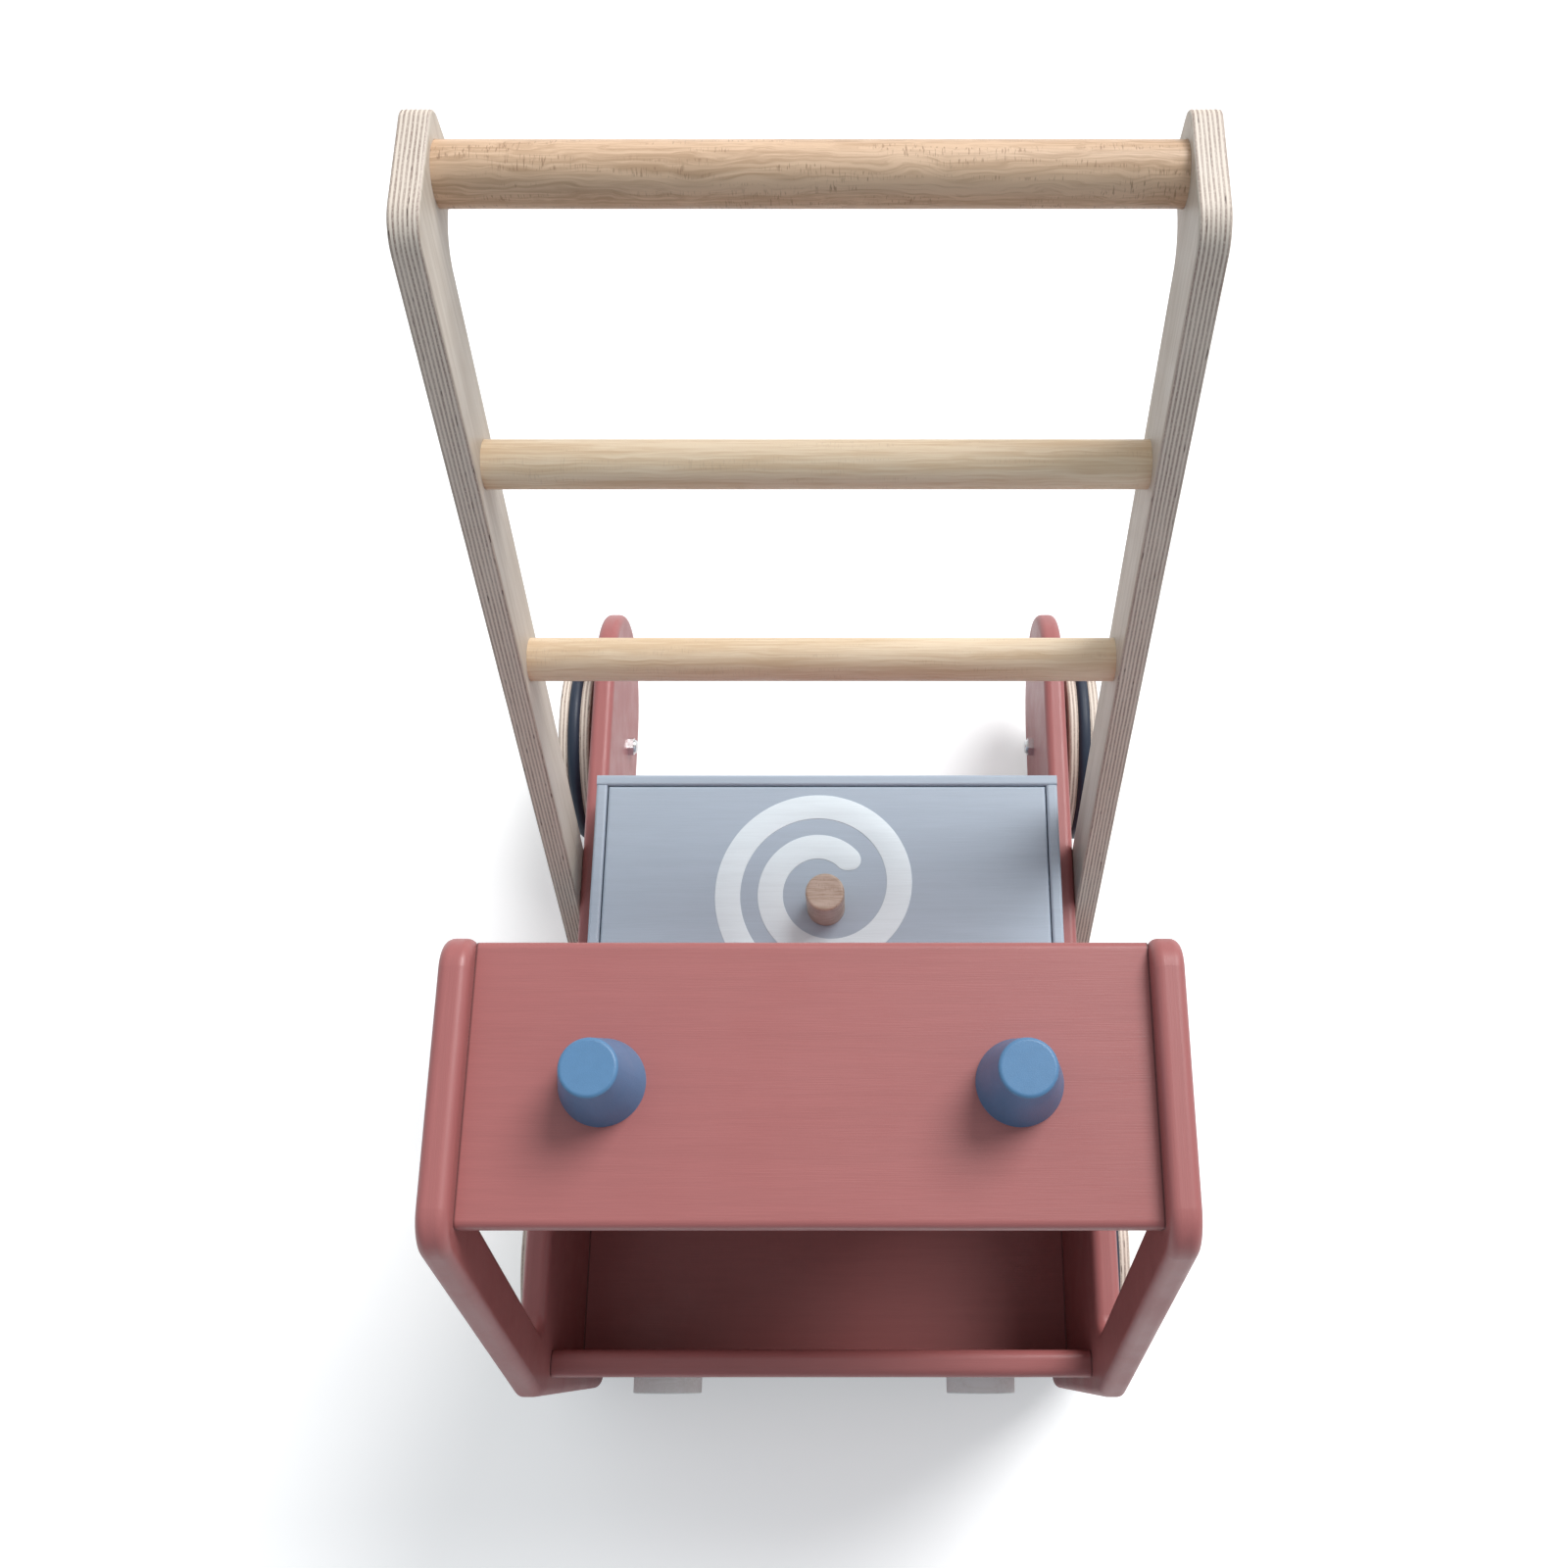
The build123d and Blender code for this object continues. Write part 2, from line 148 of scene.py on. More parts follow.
class WalkerTimbers(bpy.types.PropertyGroup):
    """Lacquered birch plywood and beech."""

    veneer: colour_property("Veneer", (0.65, 0.58, 0.50), "Face veneer of the birch plywood")
    veneer_streak: colour_property("Veneer streak", (0.55, 0.475, 0.395), "Streaks in the face veneer")
    long_layer: colour_property("Long layer", (0.80, 0.70, 0.60), "Plywood layers cut along the grain")
    end_layer: colour_property("End layer", (0.34, 0.25, 0.21), "Plywood layers cut across the grain")
    gap_in_layer: colour_property("Gap in layer", (0.10, 0.065, 0.05), "Small gaps inside the layers")
    rail_layers: layers_property("Rail layers", 7, "Pairs of layers in a ladder rail")
    wheel_layers: layers_property("Wheel layers", 9, "Pairs of layers in a wheel")
    beech: colour_property("Beech", (0.74, 0.515, 0.345), "Beech of the handle bar")
    beech_streak: colour_property("Beech streak", (0.52, 0.335, 0.205), "Streaks in the handle bar")
    pale_beech: colour_property("Pale beech", (0.93, 0.755, 0.55), "Beech of the two rungs")
    pale_streak: colour_property("Pale streak", (0.77, 0.56, 0.355), "Streaks in the two rungs")
    knob: colour_property("Knob", (0.545, 0.43, 0.36), "Beech of the lid's knob")
    knob_streak: colour_property("Knob streak", (0.38, 0.27, 0.20), "Streaks in the lid's knob")
    lamp: colour_property("Lamp", (0.92, 0.92, 0.90), "Bare wood of the headlights")
    lamp_streak: colour_property("Lamp streak", (0.84, 0.83, 0.79), "Streaks in the headlights")


class WalkerFigure(bpy.types.PropertyGroup):
    """Coiled hose painted on the lid as one spiral band."""

    shift_across: offset_property("Shift across", -0.001, "Spiral's centre across from the lid's")
    shift_back: offset_property("Shift back", 0.0105, "Spiral's centre behind the lid's")
    first_radius: length_property("First radius", 0.0191, "Centre line's radius at its inner end")
    pitch: length_property("Pitch", 0.0227, "Growth of the radius in one turn")
    band: length_property("Band", 0.0134, "Width of the painted band")
    film: length_property("Film", 0.00025, "Thickness of the paint film")
    first_angle: angle_property("First angle", 33.0, "Where the inner end lies")
    turns: FloatProperty(name="Turns", description="Turns from end to end", default=1.7, min=0.5, max=4.0)


class WalkerFasteners(bpy.types.PropertyGroup):
    """Drives of the wood screws and of the axle bolts, and the finishes of small hardware."""

    cross_reach: length_property("Cross reach", 0.0021, "Centre to the end of a cross slot")
    cross_half_width: length_property("Cross half width", 0.00042, "Half the width of a cross slot")
    cross_depth: length_property("Cross depth", 0.0014, "Depth of the cross slots")
    socket_half_flats: length_property("Socket half flats", 0.002, "Bolt's centre to a flat of its socket")
    socket_depth: length_property("Socket depth", 0.0022, "Depth of a bolt's socket")
    broken_edge: length_property("Broken edge", 0.0002, "Chamfer round a screw's head")
    steel: colour_property("Steel", (0.58, 0.585, 0.59), "Zinc-plated steel of screws and washers")
    bright_steel: colour_property("Bright steel", (0.78, 0.79, 0.80), "Bright steel of bolts and cap nuts")
    nylon: colour_property("Nylon", (0.72, 0.72, 0.69), "Nylon of bushes and spacers")
    rubber: colour_property("Rubber", (0.015, 0.026, 0.050), "Rubber of the tyre rings")


class WalkerStudio(bpy.types.PropertyGroup):
    """Pale floor, soft sky, broad main light and the camera."""

    floor: colour_property("Floor", (0.92, 0.92, 0.92), "Colour of the floor")
    floor_size: length_property("Floor size", 12.0, "Side of the square floor")
    floor_roughness: share_property("Floor roughness", 0.9, "How dull the floor is")
    floor_bounce: share_property("Floor bounce", 0.55, "Light that the floor gives back to the walker")
    floor_glow: share_property("Floor glow", 0.28, "Light of its own, which softens the shadow on it")
    ahead: colour_property("Ahead", (0.72, 0.88, 1.0), "Tint of the light from the walker's front")
    sky_ahead: strength_property("Sky ahead", 0.37, "Light from the walker's front")
    sky_behind: strength_property("Sky behind", 0.7, "Light from above and behind")
    brightest: vector_property("Brightest", (0.16, 0.76, 0.63), "Direction to the brightest sky")
    key_strength: strength_property("Key strength", 2.6, "Strength of the main light")
    key_from: vector_property("Key from", (0.42, 0.5, 0.75), "Direction to the main light")
    key_width: angle_property("Key width", 30.0, "How wide the main light looks")
    camera_place: vector_property("Camera place", (0.0174, -0.2026, 0.9547), "Place of the lens", "XYZ")
    camera_tilt: angle_property("Camera tilt", 19.9, "Angle off straight down")
    camera_shift: FloatProperty(
        name="Camera shift", description="Sideways shift, as a share of the view", default=-0.0478
    )
    lens: camera_length_property("Lens", 35.75, "Focal length")
    sensor: camera_length_property("Sensor", 36.0, "Width of the sensor")


SETTINGS = {
    "walker_paints": WalkerPaints,
    "walker_timbers": WalkerTimbers,
    "walker_figure": WalkerFigure,
    "walker_fasteners": WalkerFasteners,
    "walker_studio": WalkerStudio,
}


# ---------------------------------------------------------------- shader nodes
def put_node(tree, kind, inputs=None, **settings):
    """Add a node, set its options, and give each named input a value or a link."""
    made = tree.nodes.new(kind)
    for key, value in settings.items():
        setattr(made, key, value)
    for key, value in (inputs or {}).items():
        if isinstance(value, bpy.types.NodeSocket):
            tree.links.new(value, made.inputs[key])
        else:
            made.inputs[key].default_value = value
    return made


def math_node(tree, operation, *values):
    """Result of a Math node."""
    return put_node(tree, "ShaderNodeMath", dict(enumerate(values)), operation=operation).outputs[0]


def noise_node(tree, vector, sizes, detail, roughness=0.55):
    """Cloudy values about a half, in clouds of the given sizes along X, Y and Z."""
    steps = put_node(tree, "ShaderNodeCombineXYZ", dict(enumerate(sizes))).outputs[0]
    stretched = put_node(tree, "ShaderNodeVectorMath", {0: vector, 1: steps}, operation="DIVIDE").outputs[0]
    inputs = {"Vector": stretched, "Scale": 1.0, "Detail": detail, "Roughness": roughness}
    return put_node(tree, "ShaderNodeTexNoise", inputs).outputs[0]


def swing_node(tree, noise, reach):
    """Noise less a half, times its reach, so that it swings about nought."""
    return math_node(tree, "MULTIPLY", math_node(tree, "SUBTRACT", noise, 0.5), reach)


def ramp_node(tree, value, start=0.0, stop=1.0, low=0.0, high=1.0):
    """Smooth step from low to high as the value goes from start to stop."""
    inputs = {"Value": value, "From Min": start, "From Max": stop, "To Min": low, "To Max": high}
    return put_node(tree, "ShaderNodeMapRange", inputs, interpolation_type="SMOOTHSTEP").outputs[0]


def blend_node(tree, share, first, second):
    """Colour between the first and the second."""
    made = put_node(tree, "ShaderNodeMix", {0: share, 6: first, 7: second}, data_type="RGBA")
    return made.outputs[2]


def size_across_node(tree, vector):
    """Size of a vector's X part, the same to either side."""
    across = put_node(tree, "ShaderNodeSeparateXYZ", {0: vector}).outputs[0]
    return math_node(tree, "ABSOLUTE", across)


def opaque(colour):
    """Colour with a full alpha, as colour sockets want it."""
    return (*colour, 1.0)


def shaded(colour, share):
    """Colour made lighter by a share, or darker where the share is negative."""
    return opaque([channel * (1.0 + share) for channel in colour])


# ---------------------------------------------------------------- shared effects
def effect_group(name, inputs, outputs):
    """Empty node group with named sockets, as (tree, sockets that bring values, sockets to fill)."""
    tree = bpy.data.node_groups.new(name, "ShaderNodeTree")
    for socket_name, (kind, default) in inputs.items():
        made = tree.interface.new_socket(socket_name, in_out="INPUT", socket_type=kind)
        if default is not None:
            made.default_value = default
    for socket_name, kind in outputs.items():
        tree.interface.new_socket(socket_name, in_out="OUTPUT", socket_type=kind)
    taken = tree.nodes.new("NodeGroupInput").outputs
    given = tree.nodes.new("NodeGroupOutput").inputs
    return tree, taken, given


def timber_grain():
    """Straight grain along X: long streaks and wide bands of growth, which sway with the waviness,
    and short dark flecks in patches. Bands and flecks are multiples of the streaks' size."""
    swirl_size = (0.03, 0.012, 0.012)
    bands_longer, bands_wider = 4.0, 9.0
    flecks_shorter, flecks_taller = 0.55, 3.6
    streak_share, band_share = 0.6, 0.4
    fleck_stain, stain_share = (0.17, 0.07, 0.03, 1.0), 0.6
    tree, taken, given = effect_group(
        "timber grain",
        {
            "Vector": ("NodeSocketVector", None),
            "Light": ("NodeSocketColor", (0.7, 0.6, 0.5, 1.0)),
            "Dark": ("NodeSocketColor", (0.5, 0.4, 0.3, 1.0)),
            "Streak Length": ("NodeSocketFloat", 0.03),
            "Streak Width": ("NodeSocketFloat", 0.001),
            "Flecks": ("NodeSocketFloat", 0.0),
            "Waviness": ("NodeSocketFloat", 0.0),
        },
        {"Color": "NodeSocketColor", "Height": "NodeSocketFloat"},
    )
    vector, length, width = taken["Vector"], taken["Streak Length"], taken["Streak Width"]

    sway = swing_node(tree, noise_node(tree, vector, swirl_size, detail=2.0), taken["Waviness"])
    aside = put_node(tree, "ShaderNodeCombineXYZ", {"Y": sway, "Z": sway}).outputs[0]
    bent = put_node(tree, "ShaderNodeVectorMath", {0: vector, 1: aside}, operation="ADD").outputs[0]

    streaks = noise_node(tree, bent, (length, width, width), detail=4.0, roughness=0.6)
    broad = math_node(tree, "MULTIPLY", width, bands_wider)
    far = math_node(tree, "MULTIPLY", length, bands_longer)
    bands = noise_node(tree, bent, (far, broad, broad), detail=1.0)
    streak_tone = math_node(tree, "MULTIPLY", streaks, streak_share)
    band_tone = math_node(tree, "MULTIPLY", bands, band_share)
    darkness = ramp_node(tree, math_node(tree, "ADD", streak_tone, band_tone), start=0.38, stop=0.64)
    colour = blend_node(tree, darkness, taken["Light"], taken["Dark"])

    short = math_node(tree, "MULTIPLY", width, flecks_shorter)
    tall = math_node(tree, "MULTIPLY", width, flecks_taller)
    dash_noise = noise_node(tree, vector, (short, tall, tall), detail=1.0)
    patch_noise = noise_node(tree, vector, (length, tall, tall), detail=1.0)
    dashes = ramp_node(tree, dash_noise, start=0.56, stop=0.68)
    patches = ramp_node(tree, patch_noise, start=0.5, stop=0.66)
    flecks = math_node(tree, "MULTIPLY", math_node(tree, "MULTIPLY", dashes, patches), taken["Flecks"])
    fleck_colour = blend_node(tree, stain_share, taken["Dark"], fleck_stain)
    tree.links.new(blend_node(tree, flecks, colour, fleck_colour), given["Color"])
    tree.links.new(streaks, given["Height"])
    return tree


def plywood_layers():
    """Light and dark layers stacked across X from an inner face, the same on both sides of X = 0. The
    depth is counted in periods, and it is dark where the cosine of so many turns is below nought."""
    wobble_size, wobble_reach = (0.004, 0.02, 0.02), 0.35
    pore_size = (0.0005, 0.0007, 0.0007)
    tone_size = (0.0015, 0.03, 0.03)
    gap_size = (0.0012, 0.009, 0.009)
    softness = 0.35
    dark_layer_height = -0.3
    tree, taken, given = effect_group(
        "plywood layers",
        {
            "Vector": ("NodeSocketVector", None),
            "Inner Face": ("NodeSocketFloat", 0.1),
            "Period": ("NodeSocketFloat", 0.0017),
            "Long Layer": ("NodeSocketColor", (0.8, 0.7, 0.6, 1.0)),
            "End Layer": ("NodeSocketColor", (0.35, 0.25, 0.2, 1.0)),
            "Gap": ("NodeSocketColor", (0.1, 0.06, 0.05, 1.0)),
        },
        {"Color": "NodeSocketColor", "Height": "NodeSocketFloat"},
    )
    vector = taken["Vector"]

    depth = math_node(tree, "SUBTRACT", size_across_node(tree, vector), taken["Inner Face"])
    wobble = swing_node(tree, noise_node(tree, vector, wobble_size, detail=2.0), wobble_reach)
    periods = math_node(tree, "ADD", math_node(tree, "DIVIDE", depth, taken["Period"]), wobble)
    wave = math_node(tree, "COSINE", math_node(tree, "MULTIPLY", periods, 2 * pi))
    dark = ramp_node(tree, wave, start=softness, stop=-softness)

    pores = noise_node(tree, vector, pore_size, detail=2.0, roughness=0.7)
    pored = math_node(tree, "MULTIPLY", dark, ramp_node(tree, pores, start=0.3, stop=0.6, low=0.45))
    tone = noise_node(tree, vector, tone_size, detail=2.0)
    strength = math_node(tree, "MULTIPLY", pored, ramp_node(tree, tone, start=0.3, stop=0.65, low=0.6))
    colour = blend_node(tree, strength, taken["Long Layer"], taken["End Layer"])

    holes = ramp_node(tree, noise_node(tree, vector, gap_size, detail=1.0), start=0.69, stop=0.74)
    gaps = math_node(tree, "MULTIPLY", holes, dark)
    tree.links.new(blend_node(tree, gaps, colour, taken["Gap"]), given["Color"])
    sunken = math_node(tree, "MULTIPLY", dark, dark_layer_height)
    tree.links.new(math_node(tree, "ADD", sunken, pores), given["Height"])
    return tree


def handling_marks():
    """Roughness that drifts over a surface, with small smudges and specks from use."""
    smudge_sizes, speck_sizes = [0.03] * 3, [0.0011] * 3
    tree, taken, given = effect_group(
        "handling marks",
        {
            "Vector": ("NodeSocketVector", None),
            "Smoothest": ("NodeSocketFloat", 0.3),
            "Roughest": ("NodeSocketFloat", 0.5),
        },
        {"Roughness": "NodeSocketFloat", "Specks": "NodeSocketFloat"},
    )
    smudges = noise_node(tree, taken["Vector"], smudge_sizes, detail=5.0, roughness=0.65)
    fine = noise_node(tree, taken["Vector"], speck_sizes, detail=2.0)
    drift = ramp_node(tree, smudges, start=0.3, stop=0.7, low=taken["Smoothest"], high=taken["Roughest"])
    tree.links.new(drift, given["Roughness"])
    tree.links.new(ramp_node(tree, fine, start=0.68, stop=0.8), given["Specks"])
    return tree


EFFECTS = {"timber grain": timber_grain, "plywood layers": plywood_layers, "handling marks": handling_marks}


def put_effect(tree, name, inputs):
    """Place a shared effect, which is built the first time that it is asked for."""
    group = bpy.data.node_groups.get(name) or EFFECTS[name]()
    return put_node(tree, "ShaderNodeGroup", inputs, node_tree=group).outputs


def put_grain(tree, coordinates, turn, light, dark, length, width, flecks=0.0, waviness=0.0):
    """Timber grain on coordinates turned so that X runs along the wood."""
    along = put_node(tree, "ShaderNodeMapping", {"Vector": coordinates, "Rotation": turn}).outputs[0]
    inputs = {
        "Vector": along,
        "Light": light,
        "Dark": dark,
        "Streak Length": length,
        "Streak Width": width,
        "Flecks": flecks,
        "Waviness": waviness,
    }
    return put_effect(tree, "timber grain", inputs)


def put_marks(tree, coordinates, smoothest, roughest):
    """Handling marks between two roughnesses."""
    inputs = {"Vector": coordinates, "Smoothest": smoothest, "Roughest": roughest}
    return put_effect(tree, "handling marks", inputs)


# ---------------------------------------------------------------- materials
def bare_material(name):
    """Material with one shader, as (material, tree, shader inputs, object coordinates)."""
    material = bpy.data.materials.new(name)
    material.use_nodes = True
    tree = material.node_tree
    tree.nodes.clear()
    shader = put_node(tree, "ShaderNodeBsdfPrincipled")
    put_node(tree, "ShaderNodeOutputMaterial", {"Surface": shader.outputs[0]})
    coordinates = put_node(tree, "ShaderNodeTexCoord").outputs["Object"]
    return material, tree, shader.inputs, coordinates


def join_shader(tree, shader, colour, marks, height, depth, strength):
    """Lead a colour, the marks' roughness and a relief of the given depth in metres to the shader."""
    relief = put_node(tree, "ShaderNodeBump", {"Height": height, "Distance": depth, "Strength": strength})
    tree.links.new(colour, shader["Base Color"])
    tree.links.new(marks["Roughness"], shader["Roughness"])
    tree.links.new(relief.outputs[0], shader["Normal"])


def specked(tree, marks, base, lighter, strength):
    """Base colour with the marks' specks in a lighter one."""
    return blend_node(tree, math_node(tree, "MULTIPLY", marks["Specks"], strength), base, lighter)


def paint_material(name, colour, turn=GRAIN_ACROSS, gap_shade_at=None):
    """Satin paint through which the grain of the wood still shows as fine lines. Where the place of a joint
    is given, a line of painted shade darkens the paint at that distance from X = 0, for the shade that
    falls in the joint where a board meets a panel."""
    paints = bpy.context.scene.walker_paints
    material, tree, shader, coordinates = bare_material(name)
    light, dark = shaded(colour, paints.grain_shade), shaded(colour, -paints.grain_shade)
    grain = put_grain(tree, coordinates, turn, light, dark, paints.grain_length, paints.grain_width)
    marks = put_marks(tree, coordinates, paints.smoothest, paints.roughest)
    tone = specked(tree, marks, grain["Color"], shaded(colour, share=0.5), strength=0.12)
    # Painted shade: the paint darkens towards the joint with a panel, where shade falls in the gap.
    if gap_shade_at is not None:
        away = math_node(tree, "SUBTRACT", gap_shade_at, size_across_node(tree, coordinates))
        gap_shade_share = ramp_node(tree, away, start=paints.gap_shade_width, stop=0.0)
        tone = blend_node(tree, gap_shade_share, tone, shaded(colour, -paints.gap_shade_strength))
    join_shader(tree, shader, tone, marks, grain["Height"], paints.grain_depth, strength=0.5)
    return material


def timber_material(name, light, dark, flecks, length=0.04, width=0.0011, waviness=0.003):
    """Lacquered solid timber with straight grain across the walker, in streaks of the given size."""
    material, tree, shader, coordinates = bare_material(name)
    colours = opaque(light), opaque(dark)
    grain = put_grain(tree, coordinates, GRAIN_ACROSS, *colours, length, width, flecks, waviness)
    marks = put_marks(tree, coordinates, smoothest=0.36, roughest=0.5)
    join_shader(tree, shader, grain["Color"], marks, grain["Height"], depth=0.00015, strength=0.6)
    return material


def plywood_material(name, node, layers, turn):
    """Lacquered birch plywood: layers on the edges, face veneer where the surface looks along X."""
    timbers = bpy.context.scene.walker_timbers
    low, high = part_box(node)
    material, tree, shader, coordinates = bare_material(name)
    edges = put_effect(
        tree,
        "plywood layers",
        {
            "Vector": coordinates,
            "Inner Face": low[0],
            "Period": (high[0] - low[0]) / layers,
            "Long Layer": opaque(timbers.long_layer),
            "End Layer": opaque(timbers.end_layer),
            "Gap": opaque(timbers.gap_in_layer),
        },
    )
    colours = opaque(timbers.veneer), opaque(timbers.veneer_streak)
    veneer = put_grain(tree, coordinates, turn, *colours, length=0.05, width=0.0022)
    normal = put_node(tree, "ShaderNodeTexCoord").outputs["Normal"]
    on_face = ramp_node(tree, size_across_node(tree, normal), start=0.55, stop=0.85)
    marks = put_marks(tree, coordinates, smoothest=0.42, roughest=0.55)
    colour = blend_node(tree, on_face, edges["Color"], veneer["Color"])
    join_shader(tree, shader, colour, marks, edges["Height"], depth=0.0001, strength=0.5)
    return material


def smooth_material(name, colour, smoothest, roughest, metal=0.0):
    """Plain stuff such as steel, nylon or rubber, with drifting roughness and a few specks."""
    material, tree, shader, coordinates = bare_material(name)
    marks = put_marks(tree, coordinates, smoothest, roughest)
    tone = specked(tree, marks, opaque(colour), shaded(colour, share=0.6), strength=0.35)
    join_shader(tree, shader, tone, marks, marks["Specks"], depth=0.00003, strength=0.4)
    shader["Metallic"].default_value = metal
    return material


def at_each(places, kind):
    """Names of the CAD nodes of one kind, one at each place."""
    return [f"{place}_{kind}" for place in places]


def dress(material, *nodes):
    """Give CAD nodes a material."""
    for node in nodes:
        for material_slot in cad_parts[node].material_slots:
            material_slot.material = material


# ---------------------------------------------------------------- surfaces
def ring_mesh(name, stacks, crease=radians(32)):
    """One mesh from stacks of closed rings. In each stack every ring is joined to the next by quads,
    and each end ring to one point at its middle, so that the surface closes."""
    points, loops, sizes, first = [], [], [], 0
    for rings in stacks:
        count, around = rings.shape[:2]
        ends = np.stack([rings[0].mean(axis=0), rings[-1].mean(axis=0)])
        points.append(np.concatenate([rings.reshape(-1, 3), ends]))
        here = first + np.arange(count * around).reshape(count, around)
        after = np.roll(here, -1, axis=1)
        quads = np.stack([here[:-1], after[:-1], after[1:], here[1:]], axis=-1).reshape(-1, 4)
        start = first + count * around
        low_fan = np.stack([after[0], here[0], np.full(around, start)], axis=-1)
        high_fan = np.stack([here[-1], after[-1], np.full(around, start + 1)], axis=-1)
        if enclosed_volume(rings, ends) < 0:
            quads, low_fan, high_fan = quads[:, ::-1], low_fan[:, ::-1], high_fan[:, ::-1]
        loops.extend([quads.ravel(), low_fan.ravel(), high_fan.ravel()])
        sizes.extend([np.full(len(quads), 4), np.full(2 * around, 3)])
        first = start + 2
    points, loops, sizes = (np.concatenate(rows) for rows in (points, loops, sizes))
    mesh = bpy.data.meshes.new(name)
    mesh.vertices.add(len(points))
    mesh.vertices.foreach_set("co", points.astype(np.float32).ravel())
    mesh.loops.add(len(loops))
    mesh.loops.foreach_set("vertex_index", loops.astype(np.int32))
    mesh.polygons.add(len(sizes))
    mesh.polygons.foreach_set("loop_start", (np.cumsum(sizes) - sizes).astype(np.int32))
    mesh.update(calc_edges=True)
    mesh.validate()
    mesh.polygons.foreach_set("use_smooth", np.ones(len(mesh.polygons), bool))
    mesh.set_sharp_from_angle(angle=crease)
    piece = bpy.data.objects.new(name, mesh)
    bpy.context.scene.collection.objects.link(piece)
    return piece


def enclosed_volume(rings, ends):
    """Six times the volume inside a closed stack of rings, positive where its faces point outwards:
    the sum, over all triangles, of one corner times the cross product of the other two."""
    here, after = rings, np.roll(rings, -1, axis=1)
    a, b, c, d = here[:-1], after[:-1], after[1:], here[1:]
    sides = np.einsum("ijk,ijk->", a, np.cross(b, c)) + np.einsum("ijk,ijk->", a, np.cross(c, d))
    low = np.einsum("jk,jk->", after[0], np.cross(here[0], ends[0]))
    high = np.einsum("jk,jk->", here[-1], np.cross(after[-1], ends[1]))
    return sides + low + high


def finish_piece(piece, material, body, slot, *nodes):
    """Give a new piece its material and its body, and let it stand for CAD nodes. The slot is not used."""
    piece.data.materials.append(material)
    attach(piece, body)
    if nodes:
        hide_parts(*nodes)


def spiral_rings(centre, figure):
    """Closed cross sections of a thin band along a spiral whose radius grows evenly with the angle:
    radius = first radius + pitch * turns made. Each section is a flat film whose edges are rounded
    by a quarter circle, and its half width follows a half circle at both ends of the band."""
    fine_steps, sections_between, sections_in_cap, points_on_edge = 2000, 320, 14, 5
    cap_start = 0.12
    half = figure.band / 2
    swept = np.linspace(0.0, 2 * pi * figure.turns, fine_steps)
    radius = figure.first_radius + figure.pitch * swept / (2 * pi)
    angle = figure.first_angle + swept
    line = np.stack([np.cos(angle) * radius, np.sin(angle) * radius], axis=-1)
    run = np.concatenate([[0.0], np.cumsum(np.linalg.norm(np.diff(line, axis=0), axis=1))])
    cap = half * (1 - np.cos(np.linspace(cap_start, pi / 2, sections_in_cap)))
    between = np.linspace(half, run[-1] - half, sections_between)[1:-1]
    places = np.concatenate([cap, between, (run[-1] - cap)[::-1]])
    middle = np.stack([np.interp(places, run, line[:, axis]) for axis in (0, 1)], axis=-1)
    along = np.stack([np.gradient(middle[:, axis], places) for axis in (0, 1)], axis=-1)
    along /= np.linalg.norm(along, axis=1, keepdims=True)
    outward = np.stack([-along[:, 1], along[:, 0]], axis=-1)
    inset = np.maximum(half - np.minimum(places, run[-1] - places), 0.0)
    width = np.sqrt(half**2 - inset**2)
    rounding = np.minimum(figure.film, width)
    edge = np.linspace(0.0, pi / 2, points_on_edge)
    reach = width[:, None] - rounding[:, None] * (1 - np.cos(edge))
    reach = np.concatenate([reach, -reach[:, ::-1]], axis=1)
    height = rounding[:, None] * np.sin(edge)
    height = np.concatenate([height, height[:, ::-1]], axis=1)
    flat = centre[:2] + middle[:, None] + outward[:, None] * reach[..., None]
    return np.concatenate([flat, centre[2] + height[..., None]], axis=-1)


def fastener_places(node, axis):
    """Middle of the head, direction from head to tip, length and head radius of each fastener in a
    CAD node. Fasteners lie along the axis, and the head is at the end where they are widest. Points
    within reach of each other across the axis are of one fastener. Along X, only those on the same
    side of the walker are."""
    reach, tolerance = 0.015, 1e-6
    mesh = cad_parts[node].data
    points = np.empty(len(mesh.vertices) * 3)
    mesh.vertices.foreach_get("co", points)
    points = points.reshape(-1, 3)
    others = [number for number in range(3) if number != axis]
    keys = np.column_stack([points[:, others], np.sign(points[:, axis]) * (axis == 0)])
    places = []
    while len(points):
        near = np.linalg.norm(keys - keys[0], axis=1) < reach
        group = points[near]
        middle = (group.min(axis=0) + group.max(axis=0)) / 2
        spread = np.linalg.norm(group[:, others] - middle[others], axis=1)
        low, high = group[:, axis].min(), group[:, axis].max()
        widest_low = spread[group[:, axis] < (low + high) / 2].max()
        head, sense = (low, 1.0) if widest_low >= spread.max() - tolerance else (high, -1.0)
        middle[axis] = head
        direction = np.zeros(3)
        direction[axis] = sense
        places.append((middle, direction, high - low, spread.max()))
        points, keys = points[~near], keys[~near]
    return places


def stacked_rings(place, direction, rows):
    """Rings round an axis: each row is a radius, or one radius for each angle, and a depth. A point
    is the place + radius * (cosine * side + sine * up) + depth * direction."""
    around = max(np.size(radius) for radius, depth in rows)
    turn = np.linspace(0.0, 2 * pi, around, endpoint=False)
    side = np.roll(np.abs(direction), 1)
    up = np.cross(direction, side)
    spoke = np.cos(turn)[:, None] * side + np.sin(turn)[:, None] * up
    radii = np.stack([np.broadcast_to(radius, around) for radius, depth in rows])
    depths = np.array([depth for radius, depth in rows])
    return place + radii[..., None] * spoke + depths[:, None, None] * direction


